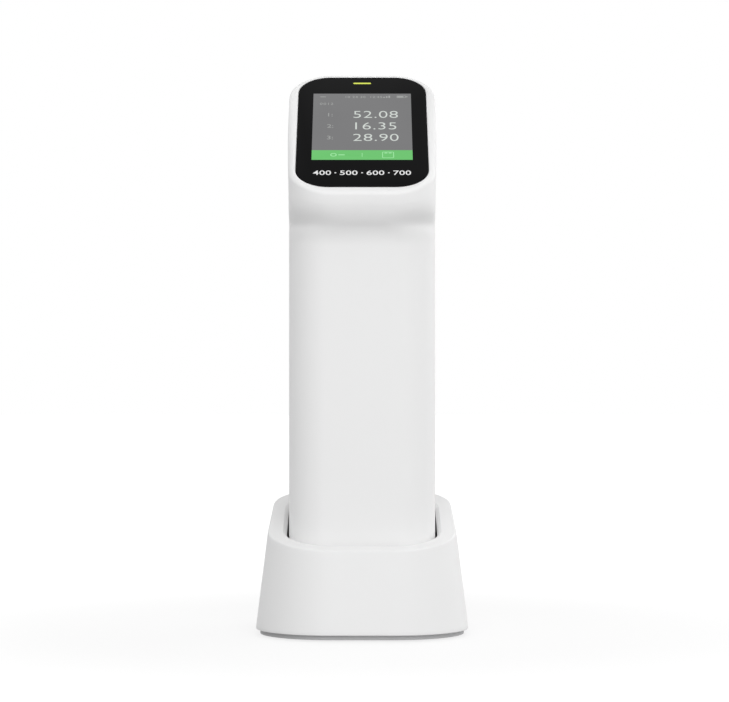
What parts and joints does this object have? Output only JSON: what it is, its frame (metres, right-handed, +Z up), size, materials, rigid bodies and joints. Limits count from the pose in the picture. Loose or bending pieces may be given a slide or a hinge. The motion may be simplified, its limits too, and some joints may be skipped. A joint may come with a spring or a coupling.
{
  "type": "portable spectrophotometer",
  "caption": "Handheld colour spectrophotometer with a slanted display, standing in its tapered calibration and charging dock.",
  "frame": {"origin": "on the bench, under the middle of the dock's footprint", "axes": "+Z up; the display faces -Y, towards the user; +X is to the right as the user looks at the display"},
  "size_m": [0.0716, 0.0754, 0.1924],
  "materials": {
    "white_plastic": "fine satin moulding",
    "liner_plastic": "matte moulding",
    "base_plastic": "matte moulding",
    "button_plastic": "satin moulding",
    "black_plastic": "matte moulding",
    "frame_plastic": "glass-filled moulding",
    "rubber": "soft",
    "foam": "closed-cell foam",
    "steel": "zinc plated",
    "gold": "gold plated",
    "aluminium": "black anodised",
    "board": "solder mask",
    "chip": "moulded epoxy",
    "ceramic": "glazed white",
    "sphere_white": "diffuse white coating",
    "battery_wrap": "shrink film",
    "black_glass": "printed cover glass",
    "optical_glass": "polished",
    "display": "lit display",
    "light_guide": "clear acrylic",
    "flex": "polyimide film"
  },
  "bodies": {
    "dock": {"dock_shell": "white_plastic", "socket_liner": "liner_plastic", "dock_base": "base_plastic", "dock_feet": "rubber", "dock_screws": "steel", "ballast_plate": "steel", "dock_board": "board", "dock_inlet": "steel", "pin_block": "black_plastic", "pin_spring_left": "steel", "pin_spring_right": "steel", "tile_foam": "foam"},
    "pin_left": {"contact_pin_left": "gold"},
    "pin_right": {"contact_pin_right": "gold"},
    "tile": {"tile_carrier": "black_plastic", "calibration_tile": "ceramic"},
    "mask": {"target_mask": "black_plastic"},
    "measure_key": {"measure_button": "button_plastic"},
    "power_key": {"power_button": "button_plastic"},
    "instrument": {"front_housing": "white_plastic", "rear_housing": "white_plastic", "bottom_cap": "white_plastic", "base_screws": "steel", "charging_pads": "gold", "mask_seal": "foam", "sphere_lower": "sphere_white", "sphere_upper": "sphere_white", "lens_tube": "aluminium", "viewing_lens": "optical_glass", "gloss_trap": "black_plastic", "lamp": "light_guide", "lamp_board": "board", "inner_frame": "frame_plastic", "spectrometer_housing": "aluminium", "spectrometer_cover": "aluminium", "entrance_slit": "steel", "concave_grating": "optical_glass", "sensor_board": "board", "line_sensor": "chip", "spectrometer_screws": "steel", "main_board": "board", "board_screws": "steel", "battery_pack": "battery_wrap", "battery_foam": "foam", "measure_switch": "chip", "power_switch": "chip", "data_socket": "steel", "buzzer": "chip", "display_flex": "flex", "cover_glass": "black_glass", "glass_gasket": "foam", "lcd_panel": "display", "lcd_frame": "black_plastic", "display_board": "board", "display_screws": "steel", "status_light": "light_guide", "status_led": "chip"}
  },
  "joints": [
    {"name": "instrument_lift", "type": "slide", "parent": "dock", "child": "instrument", "axis": [0, 0, 1], "range_m": [0, 0.06]},
    {"name": "mask_twist", "type": "hinge", "parent": "instrument", "child": "mask", "pos_m": [0, -0.001, 0.014], "axis": [0, 0, 1], "range_deg": [0, 25]},
    {"name": "measure_press", "type": "slide", "parent": "instrument", "child": "measure_key", "axis": [0, -1, 0], "range_m": [0, 0.0008], "stiffness_N_per_m": 900},
    {"name": "power_press", "type": "slide", "parent": "instrument", "child": "power_key", "axis": [0, -1, 0], "range_m": [0, 0.0005], "stiffness_N_per_m": 900},
    {"name": "pin_left_press", "type": "slide", "parent": "dock", "child": "pin_left", "axis": [0, 0, -1], "range_m": [0, 0.001], "stiffness_N_per_m": 400, "deforming": ["pin_spring_left"]},
    {"name": "pin_right_press", "type": "slide", "parent": "dock", "child": "pin_right", "axis": [0, 0, -1], "range_m": [0, 0.001], "stiffness_N_per_m": 400, "deforming": ["pin_spring_right"]},
    {"name": "tile_press", "type": "slide", "parent": "dock", "child": "tile", "axis": [0, 0, -1], "range_m": [0, 0.001], "stiffness_N_per_m": 2500, "deforming": ["tile_foam"]}
  ]
}
